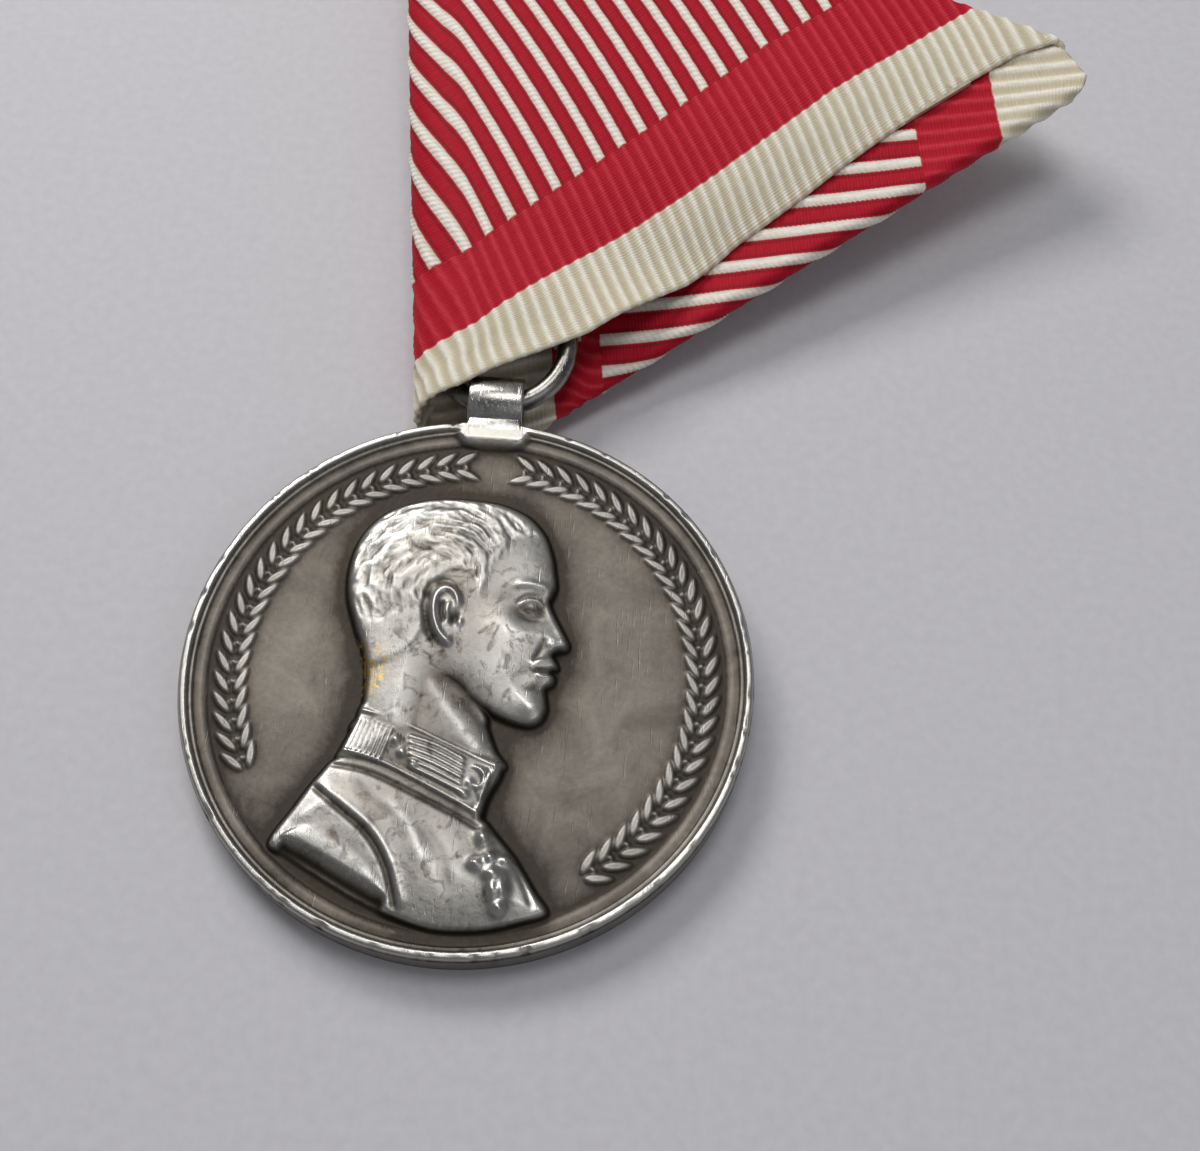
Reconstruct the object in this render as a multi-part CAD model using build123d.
from build123d import *
from math import cos, radians, sin, sqrt, tan
import os

# A small silver medal hanging by an eye and a split ring from a ribbon folded into a triangle,
# with a brooch on the ribbon's back. The medal lies on its back, face up, on a flat surface.
# Lengths are in millimetres and angles in degrees.
#
# Working frame: X to the right, Y up the medal, Z up from the surface, origin below the disc.
# Ribbon frame: u across the triangle, v from its apex to the middle of its top side, w towards
# its face, origin at the apex.

# ---- disc
DISC_RADIUS = 15.5
RIM_THICKNESS = 2.6
RIM_WIDTH = 0.95
RIM_EDGE_ROUND = 0.3
OBVERSE_FIELD = 2.0
REVERSE_RECESS = 0.35
DISC_TILT = 3.3
BUST_CROWN_RADIUS = 60.0
BUST_TOP = 2.95
ORNAMENT_RADIUS = 12.8
ORNAMENT_LEAVES = 36
ORNAMENT_HEIGHT = 0.2
WREATH_RADIUS = 10.5
WREATH_LEAVES = 28

# ---- eye on the disc
EYE_Y = 17.1
EYE_OUTER_RADIUS = 1.65
EYE_BORE_RADIUS = 1.15
EYE_WIDTH = 3.2
EYE_FOOT_WIDTH = 4.2

# ---- split ring
RING_RADIUS = 3.9
RING_WIRE_RADIUS = 0.6
RING_GAP = 0.15

# ---- ribbon: one strip in four layers, back to front: back, inner, middle, face
SIDE = 52.5
STRIP_WIDTH = 42.0
LAYER = 0.35
APEX_X = -3.4
APEX_Y = 12.5
RIBBON_TURN = -23.0
RIBBON_SLOPE = 9.0
TABLE_GAP = 0.05
BACK_W = 0.0
INNER_W = 0.4
MIDDLE_W = 0.85
FACE_W = 1.4
FACE_LIFT = 5.0
LEFT_BULGE = 0.8
END_INSET = 1.0
SELVEDGE_GAP = 0.5
APEX_CUT = 0.8
TONGUE = 0.3
TONGUE_STEP = 0.05

# ---- stiffening card between the middle and face layers
CARD = 0.35
CARD_W = 1.23
CARD_LOW_V = 18.0
CARD_HIGH_V = 40.0
CARD_INSET = 4.6

# ---- sewing thread
THREAD_RADIUS = 0.12
RING_LOOP_RADIUS = 0.78
RING_LOOP_ANGLES = (-58.0, 6.0, 46.0)
SEAM_STITCHES = 17
SEAM_STITCH_LENGTH = 1.4
SEAM_INSET = 2.2
BAR_STITCH_U = (-12.6, -7.6, -2.5, 2.5, 7.6, 12.6)
BAR_STITCH_REACH = 2.9

# ---- brooch: bar, hinge bracket, rivet, needle and catch
BAR_V = 32.0
BAR_LENGTH = 29.0
BAR_WIDTH = 4.0
BAR_THICKNESS = 0.5
BAR_TOP_W = -0.05
BAR_HOLE_RADIUS = 0.3
PIVOT_U = -11.0
PIVOT_W = -3.4
CHEEK_RADIUS = 0.9
CHEEK_THICKNESS = 0.4
CHEEK_GAP = 1.0
BRACKET_BASE = 0.4
BRACKET_LENGTH = 2.6
RIVET_RADIUS = 0.4
RIVET_HEAD_RADIUS = 0.62
RIVET_HEAD = 0.22
HUB_RADIUS = 0.8
HUB_WIDTH = 0.9
HUB_BORE_RADIUS = 0.45
NECK_RADIUS = 0.75
NECK_LENGTH = 1.7
NEEDLE_RADIUS = 0.45
NEEDLE_TIP_U = 13.4
NEEDLE_TAPER = 3.4
NEEDLE_POINT_RADIUS = 0.06
CATCH_U = 8.6
CATCH_LENGTH = 2.4
CATCH_INNER_RADIUS = 0.8
CATCH_WALL = 0.35
CATCH_CURL = 46.0
CATCH_STEM = 0.9

# ---- the two frames
HEIGHT = SIDE * sqrt(3) / 2
INSET = HEIGHT - STRIP_WIDTH
CORNER = INSET / sin(radians(60))
DISC_LIFT = DISC_RADIUS * sin(radians(DISC_TILT))
APEX_Z = TABLE_GAP - INSET * sin(radians(RIBBON_SLOPE))

medal_frame = Location((0, 0, DISC_LIFT)) * Location((0, 0, 0), (DISC_TILT, 0, 0))
ribbon_frame = (
    Location((APEX_X, APEX_Y, APEX_Z))
    * Location((0, 0, 0), (0, 0, RIBBON_TURN))
    * Location((0, 0, 0), (RIBBON_SLOPE, 0, 0))
)


def world_point(frame, x, y, z):
    """A point of a local frame in the working frame."""
    return (frame * Location((x, y, z))).position


def world_direction(frame, x, y, z):
    """A direction of a local frame in the working frame."""
    return world_point(frame, x, y, z) - world_point(frame, 0, 0, 0)


RIBBON_NORMAL = world_direction(ribbon_frame, 0, 0, 1)
BORE_CENTRE = world_point(medal_frame, 0, EYE_Y, EYE_OUTER_RADIUS)
RING_UP = RIBBON_NORMAL.cross(Vector(1, 0, 0)).normalized()
RING_CENTRE = BORE_CENTRE + RING_UP * RING_RADIUS
RING_IN_RIBBON = (ribbon_frame.inverse() * Location(RING_CENTRE)).position


def face_bottom(v):
    """Underside of the ribbon's face layer, which rises from the top fold towards the apex."""
    return FACE_W + (HEIGHT - v) * tan(radians(FACE_LIFT))


def polar(radius, angle):
    """A point on a circle about the origin."""
    return radius * cos(radians(angle)), radius * sin(radians(angle))


def slab(points, w, thickness):
    """A flat layer of the ribbon frame with the given outline."""
    outline = make_face(Polyline(*points, close=True))
    return Pos(0, 0, w) * extrude(outline, thickness)


def rod(start, end, radius):
    """A round rod between two points."""
    a = Vector(*start)
    b = Vector(*end)
    run = b - a
    return extrude(Plane(origin=a, z_dir=run) * Circle(radius), run.length)


# ---- medal
def leaf_ring(radius, count, length, width, z, height):
    """A ring of raised leaves, each turned a little from the tangent."""
    leaves = []
    for i in range(count):
        angle = 360 * i / count
        x, y = polar(radius, angle)
        turn = angle + 90 + (24 if i % 2 else -24)
        leaf = extrude(Ellipse(length / 2, width / 2), height)
        leaves.append(Pos(x, y, z) * Rot(0, 0, turn) * leaf)
    return leaves


def bust():
    """A plain head and shoulders to the right, with a gently crowned surface."""
    head = Pos(0.2, 4.6) * Rot(0, 0, 12) * Ellipse(4.6, 5.9)
    neck = Pos(-1.6, -1.0) * Rot(0, 0, 8) * Rectangle(6.4, 7.0)
    shoulder_line = Polyline(
        (-5.6, -0.8), (-7.6, -5.0), (-10.4, -7.8), (-7.0, -10.2), (-2.6, -12.2), (4.2, -11.4),
        (2.6, -7.2), (1.2, -3.4), close=True,
    )
    silhouette = head + neck + make_face(shoulder_line)
    prism = Pos(0, 0, OBVERSE_FIELD - 0.2) * extrude(silhouette, 2.0)
    crown = Pos(0, -2.5, BUST_TOP - BUST_CROWN_RADIUS) * Sphere(BUST_CROWN_RADIUS)
    return prism & crown


def medal_disc():
    """The struck disc: raised rim, sunk fields, a bust on the face, a wreath on the reverse."""
    inner = DISC_RADIUS - RIM_WIDTH
    profile = Polyline(
        (0, REVERSE_RECESS), (inner, REVERSE_RECESS), (inner + 0.15, 0),
        (DISC_RADIUS - RIM_EDGE_ROUND, 0), (DISC_RADIUS, RIM_EDGE_ROUND),
        (DISC_RADIUS, RIM_THICKNESS - RIM_EDGE_ROUND), (DISC_RADIUS - RIM_EDGE_ROUND, RIM_THICKNESS),
        (inner + 0.15, RIM_THICKNESS), (inner, OBVERSE_FIELD), (0, OBVERSE_FIELD), close=True,
    )
    blank = revolve(Plane.XZ * make_face(profile), Axis.Z)
    ornament = leaf_ring(
        ORNAMENT_RADIUS, ORNAMENT_LEAVES, 1.7, 0.7, OBVERSE_FIELD - 0.1, ORNAMENT_HEIGHT + 0.1
    )
    wreath = leaf_ring(WREATH_RADIUS, WREATH_LEAVES, 2.6, 1.0, 0.1, REVERSE_RECESS)
    disc = blank + bust() + ornament + wreath
    return medal_frame * disc


def suspension_eye():
    """A short tube across the top of the disc on a foot that is hollowed to the disc's edge."""
    tube = Rot(0, 90, 0) * Cylinder(EYE_OUTER_RADIUS, EYE_WIDTH)
    bore = Rot(0, 90, 0) * Cylinder(EYE_BORE_RADIUS, EYE_WIDTH + 2)
    foot_top = EYE_Y - 0.75 * EYE_OUTER_RADIUS
    foot_low = sqrt(DISC_RADIUS**2 - (EYE_FOOT_WIDTH / 2) ** 2) - 0.2
    foot = Pos(0, foot_low - EYE_Y, -EYE_OUTER_RADIUS) * Box(
        EYE_FOOT_WIDTH, foot_top - foot_low, RIM_THICKNESS, align=(Align.CENTER, Align.MIN, Align.MIN)
    )
    disc_edge = Pos(0, -EYE_Y, 0) * Cylinder(DISC_RADIUS, 4 * EYE_OUTER_RADIUS)
    eye = tube + foot - disc_edge - bore
    return medal_frame * Pos(0, EYE_Y, EYE_OUTER_RADIUS) * eye


def suspension_ring():
    """A round wire bent into a ring that lies parallel to the ribbon, with its ends nearly touching."""
    wire = Torus(RING_RADIUS, RING_WIRE_RADIUS)
    gap = Pos(0, RING_RADIUS, 0) * Box(RING_GAP, 4 * RING_WIRE_RADIUS, 4 * RING_WIRE_RADIUS)
    plane = Plane(origin=RING_CENTRE, x_dir=RING_UP.cross(RIBBON_NORMAL), z_dir=RIBBON_NORMAL)
    return plane.location * (wire - gap)


# ---- ribbon
def side_point(sign, distance, inset=0.0):
    """A point at a distance up a slanting side, left (-1) or right (1), moved in by an inset."""
    u = sign * (distance * 0.5 - inset * cos(radians(30)))
    v = distance * cos(radians(30)) + inset * 0.5
    return u, v


def at_height(sign, v, inset=0.0):
    """The point of a slanting side, moved in by an inset, at a height v above the apex."""
    return sign * (v * tan(radians(30)) - inset / cos(radians(30))), v


def roll(start, end, low_w, high_w):
    """A half-round fold along a line, outside on its right, joining layers at two heights."""
    a = Vector(start[0], start[1], 0)
    b = Vector(end[0], end[1], 0)
    along = (b - a).normalized()
    outward = along.cross(Vector(0, 0, 1))
    radius = (high_w - low_w) / 2
    ring = Circle(radius) - Circle(radius - LAYER)
    half = ring & (Pos(radius, 0) * Rectangle(2 * radius, 2 * radius))
    plane = Plane(origin=a + Vector(0, 0, low_w + radius), x_dir=outward, z_dir=along)
    return extrude(plane * half, (b - a).length)


def left_section(distance):
    """Section of the open fold along the left side: a bowed wall between the back and the face."""
    u, v = side_point(-1, distance)
    top = face_bottom(v) + LAYER
    low = BACK_W
    outer = ThreePointArc((0, low), (-LEFT_BULGE, (low + top) / 2), (0, top))
    inner = ThreePointArc(
        (0, top - LAYER), (LAYER - LEFT_BULGE, (low + top) / 2), (0, low + LAYER)
    )
    upper = Polyline(
        (0, top), (0, top - TONGUE_STEP), (TONGUE, top - TONGUE_STEP),
        (TONGUE, top - LAYER + TONGUE_STEP), (0, top - LAYER + TONGUE_STEP), (0, top - LAYER),
    )
    lower = Polyline(
        (0, low + LAYER), (0, low + LAYER - TONGUE_STEP), (TONGUE, low + LAYER - TONGUE_STEP),
        (TONGUE, low + TONGUE_STEP), (0, low + TONGUE_STEP), (0, low),
    )
    inward = (cos(radians(30)), sin(radians(30)), 0)
    plane = Plane(origin=(u, v, 0), x_dir=inward, z_dir=(0.5, -cos(radians(30)), 0))
    return plane * make_face(outer + upper + inner + lower)


def ribbon():
    """One strip folded into a triangle: back, left fold, face, top fold, middle, right fold, inner."""
    roll_top = (FACE_W + LAYER - MIDDLE_W) / 2
    roll_right = (MIDDLE_W + LAYER - INNER_W) / 2
    high = HEIGHT - roll_top
    back = slab(
        [
            side_point(-1, CORNER), at_height(1, INSET, END_INSET / 2),
            at_height(1, HEIGHT, END_INSET), (-SIDE / 2, HEIGHT),
        ],
        BACK_W, LAYER,
    )
    inner = slab(
        [
            at_height(-1, APEX_CUT + 1.2, 0.2), at_height(1, APEX_CUT + 1.2, roll_right),
            at_height(1, STRIP_WIDTH, roll_right), at_height(-1, STRIP_WIDTH, END_INSET),
        ],
        INNER_W, LAYER,
    )
    middle_cut = side_point(1, SIDE - CORNER, roll_right)
    middle = slab(
        [
            at_height(-1, APEX_CUT + 1.2, 0.2), at_height(1, APEX_CUT + 1.2, roll_right), middle_cut,
            (SIDE / 2 - CORNER, high), at_height(-1, high, SELVEDGE_GAP),
        ],
        MIDDLE_W, LAYER,
    )
    face_outline = [
        side_point(-1, CORNER), (SIDE / 2 - CORNER, high), (-SIDE / 2 + roll_top * 0.6, high),
    ]
    face_tilt = Pos(0, high, face_bottom(high)) * Rot(-FACE_LIFT, 0, 0) * Pos(0, -high, 0)
    face = face_tilt * slab(face_outline, 0, LAYER)
    top_fold = roll(
        (SIDE / 2 - CORNER, high), at_height(-1, high, SELVEDGE_GAP), MIDDLE_W, FACE_W + LAYER
    )
    low_right = at_height(1, APEX_CUT + 1.2, roll_right)
    right_fold = roll(low_right, middle_cut, INNER_W, MIDDLE_W + LAYER)
    left_fold = loft([left_section(CORNER), left_section(SIDE - 0.6)], ruled=True)
    strip = back + left_fold + face + top_fold + middle + right_fold + inner
    return ribbon_frame * strip


def stiffener():
    """A card that keeps the triangle flat, between the middle and face layers."""
    card = slab(
        [
            at_height(-1, CARD_LOW_V, CARD_INSET / 2), at_height(1, CARD_LOW_V, CARD_INSET),
            at_height(1, CARD_HIGH_V, CARD_INSET), at_height(-1, CARD_HIGH_V, CARD_INSET / 2),
        ],
        CARD_W, CARD,
    )
    return ribbon_frame * card


# ---- thread
def staple(start, end, high_w, low_w):
    """Thread that runs flat between two points and dips to another level at both ends."""
    a = (start[0], start[1], high_w)
    b = (end[0], end[1], high_w)
    legs = rod(a, (a[0], a[1], low_w), THREAD_RADIUS) + rod(b, (b[0], b[1], low_w), THREAD_RADIUS)
    knees = Pos(*a) * Sphere(THREAD_RADIUS) + Pos(*b) * Sphere(THREAD_RADIUS)
    return legs + rod(a, b, THREAD_RADIUS) + knees


def ring_stitches():
    """Thread loops that hold the hidden part of the ring to the middle layer."""
    loops = []
    low_w = MIDDLE_W + 0.1
    for angle in RING_LOOP_ANGLES:
        radial = Vector(sin(radians(angle)), cos(radians(angle)), 0)
        place = RING_IN_RIBBON + radial * RING_RADIUS
        half = revolve(Pos(RING_LOOP_RADIUS, 0) * Circle(THREAD_RADIUS), Axis.Y, 180)
        loop = Plane(origin=place, x_dir=radial, z_dir=(0, 0, -1)).location * half
        for side in (-1, 1):
            foot = place + radial * (side * RING_LOOP_RADIUS)
            loop += rod((foot.X, foot.Y, foot.Z), (foot.X, foot.Y, low_w), THREAD_RADIUS)
        loops.append(loop)
    return ribbon_frame * Compound(loops)


def seam_stitches():
    """A row of short stitches that closes the hem of the back layer along the right side."""
    stitches = []
    for i in range(SEAM_STITCHES):
        low = CORNER + 3.0 + i * (SIDE - CORNER - 7.0) / (SEAM_STITCHES - 1)
        start = side_point(1, low, SEAM_INSET)
        end = side_point(1, low + SEAM_STITCH_LENGTH, SEAM_INSET)
        stitches.append(staple(start, end, BACK_W - 0.5 * THREAD_RADIUS, BACK_W + 0.7 * LAYER))
    return ribbon_frame * Compound(stitches)


def bar_stitches():
    """Thread that goes over each edge of the brooch's bar and down through its holes."""
    stitches = []
    high_w = BAR_TOP_W - BAR_THICKNESS - THREAD_RADIUS
    for u in BAR_STITCH_U:
        start = (u, BAR_V)
        end = (u, BAR_V + BAR_STITCH_REACH)
        stitches.append(staple(start, end, high_w, BACK_W + 0.7 * LAYER))
    return ribbon_frame * Compound(stitches)


# ---- brooch
def pin_bar():
    """The flat bar that is sewn to the ribbon's back, with rounded ends and sewing holes."""
    outline = SlotOverall(BAR_LENGTH, BAR_WIDTH)
    for u in BAR_STITCH_U:
        outline -= Pos(u, 0) * Circle(BAR_HOLE_RADIUS)
    bar = Pos(0, BAR_V, BAR_TOP_W - BAR_THICKNESS) * extrude(outline, BAR_THICKNESS)
    return ribbon_frame * bar


def pin_hinge_bracket():
    """A U of sheet soldered under the bar, with two round-ended cheeks that carry the rivet."""
    base_w = BAR_TOP_W - BAR_THICKNESS
    width = CHEEK_GAP + 2 * CHEEK_THICKNESS
    base = Pos(PIVOT_U, BAR_V, base_w) * Box(
        BRACKET_LENGTH, width, BRACKET_BASE, align=(Align.CENTER, Align.CENTER, Align.MAX)
    )
    round_end = Pos(PIVOT_U, BAR_V, PIVOT_W) * Rot(90, 0, 0) * Cylinder(CHEEK_RADIUS, width)
    web = Pos(PIVOT_U, BAR_V, PIVOT_W) * Box(
        2 * CHEEK_RADIUS, width, base_w - BRACKET_BASE - PIVOT_W,
        align=(Align.CENTER, Align.CENTER, Align.MIN),
    )
    slot = Pos(PIVOT_U, BAR_V, base_w - BRACKET_BASE) * Box(
        4 * CHEEK_RADIUS, CHEEK_GAP, 4 * CHEEK_RADIUS, align=(Align.CENTER, Align.CENTER, Align.MAX)
    )
    hole = Pos(PIVOT_U, BAR_V, PIVOT_W) * Rot(90, 0, 0) * Cylinder(RIVET_RADIUS, 2 * width)
    return ribbon_frame * (base + web + round_end - slot - hole)


def pin_hinge_rivet():
    """The rivet through the cheeks, with a flat head at each end."""
    width = CHEEK_GAP + 2 * CHEEK_THICKNESS
    shank = Cylinder(RIVET_RADIUS, width)
    head = Cylinder(RIVET_HEAD_RADIUS, RIVET_HEAD, align=(Align.CENTER, Align.CENTER, Align.MIN))
    rivet = shank + Pos(0, 0, width / 2) * head + Rot(180, 0, 0) * Pos(0, 0, width / 2) * head
    return ribbon_frame * Pos(PIVOT_U, BAR_V, PIVOT_W) * Rot(90, 0, 0) * rivet


def pin_needle():
    """The needle: a drilled hub, a short neck and a round shaft that tapers to a point."""
    hub = Rot(90, 0, 0) * Cylinder(HUB_RADIUS, HUB_WIDTH)
    neck = rod((0.3, 0, 0), (NECK_LENGTH, 0, 0), NECK_RADIUS)
    hub_slice = Box(8 * HUB_RADIUS, HUB_WIDTH, 4 * HUB_RADIUS)
    taper_u = NEEDLE_TIP_U - NEEDLE_TAPER - PIVOT_U
    shaft = rod((NECK_LENGTH - 0.1, 0, 0), (taper_u, 0, 0), NEEDLE_RADIUS)
    point = Pos(taper_u + NEEDLE_TAPER / 2, 0, 0) * Rot(0, 90, 0) * Cone(
        NEEDLE_RADIUS, NEEDLE_POINT_RADIUS, NEEDLE_TAPER
    )
    bore = Rot(90, 0, 0) * Cylinder(HUB_BORE_RADIUS, 2 * HUB_WIDTH)
    needle = hub + (neck & hub_slice) + shaft + point - bore
    return ribbon_frame * Pos(PIVOT_U, BAR_V, PIVOT_W) * needle


def pin_catch():
    """A curled sheet clip on a stem, open away from the ribbon, that snaps round the needle."""
    base_w = BAR_TOP_W - BAR_THICKNESS
    outer = CATCH_INNER_RADIUS + CATCH_WALL
    curl = Circle(outer) - Circle(CATCH_INNER_RADIUS)
    reach = 3 * outer
    mouth = make_face(
        Polyline(
            (0, 0), (reach * cos(radians(CATCH_CURL)), -reach * sin(radians(CATCH_CURL))),
            (-reach * cos(radians(CATCH_CURL)), -reach * sin(radians(CATCH_CURL))), close=True,
        )
    )
    stem_height = base_w - PIVOT_W - CATCH_INNER_RADIUS - 0.5 * CATCH_WALL
    stem = Pos(0, CATCH_INNER_RADIUS + 0.5 * CATCH_WALL + stem_height / 2) * Rectangle(CATCH_STEM, stem_height)
    profile = (curl - mouth) + stem
    plane = Plane(origin=(CATCH_U, BAR_V, PIVOT_W), x_dir=(0, 1, 0), z_dir=(1, 0, 0))
    return ribbon_frame * extrude(plane * profile, CATCH_LENGTH)


NODES = {
    "medal_disc": medal_disc,
    "suspension_eye": suspension_eye,
    "suspension_ring": suspension_ring,
    "ribbon": ribbon,
    "stiffener": stiffener,
    "ring_stitches": ring_stitches,
    "seam_stitches": seam_stitches,
    "bar_stitches": bar_stitches,
    "pin_bar": pin_bar,
    "pin_hinge_bracket": pin_hinge_bracket,
    "pin_hinge_rivet": pin_hinge_rivet,
    "pin_needle": pin_needle,
    "pin_catch": pin_catch,
}

# ---- the part's own frame: origin at the middle of the underside of everything's box
shapes = {name: make() for name, make in NODES.items()}
boxes = [shape.bounding_box() for shape in shapes.values()]
low = Vector(min(b.min.X for b in boxes), min(b.min.Y for b in boxes), min(b.min.Z for b in boxes))
high = Vector(max(b.max.X for b in boxes), max(b.max.Y for b in boxes), max(b.max.Z for b in boxes))
origin = Vector((low.X + high.X) / 2, (low.Y + high.Y) / 2, low.Z)
shift = Location(-origin)

os.makedirs("parts", exist_ok=True)
for name, shape in shapes.items():
    export_step(shift * shape, f"parts/{name}.step")


def say(label, vector):
    """Print a point or direction with six decimals."""
    print(f"{label}: {vector.X:.6f} {vector.Y:.6f} {vector.Z:.6f}")


PIVOT = world_point(ribbon_frame, PIVOT_U, BAR_V, PIVOT_W)
say("size", high - low)
say("ring_turn point", RING_CENTRE - origin)
say("ring_turn axis", RIBBON_NORMAL)
say("medal_flap point", BORE_CENTRE - origin)
say("medal_flap axis", Vector(-1, 0, 0))
say("pin_hinge point", PIVOT - origin)
say("pin_hinge axis", world_direction(ribbon_frame, 0, 1, 0))
say("needle direction", world_direction(ribbon_frame, 1, 0, 0))
say("needle mount point", world_point(ribbon_frame, PIVOT_U + NECK_LENGTH, BAR_V, PIVOT_W) - origin)
say("disc middle", world_point(medal_frame, 0, 0, 0) - origin)
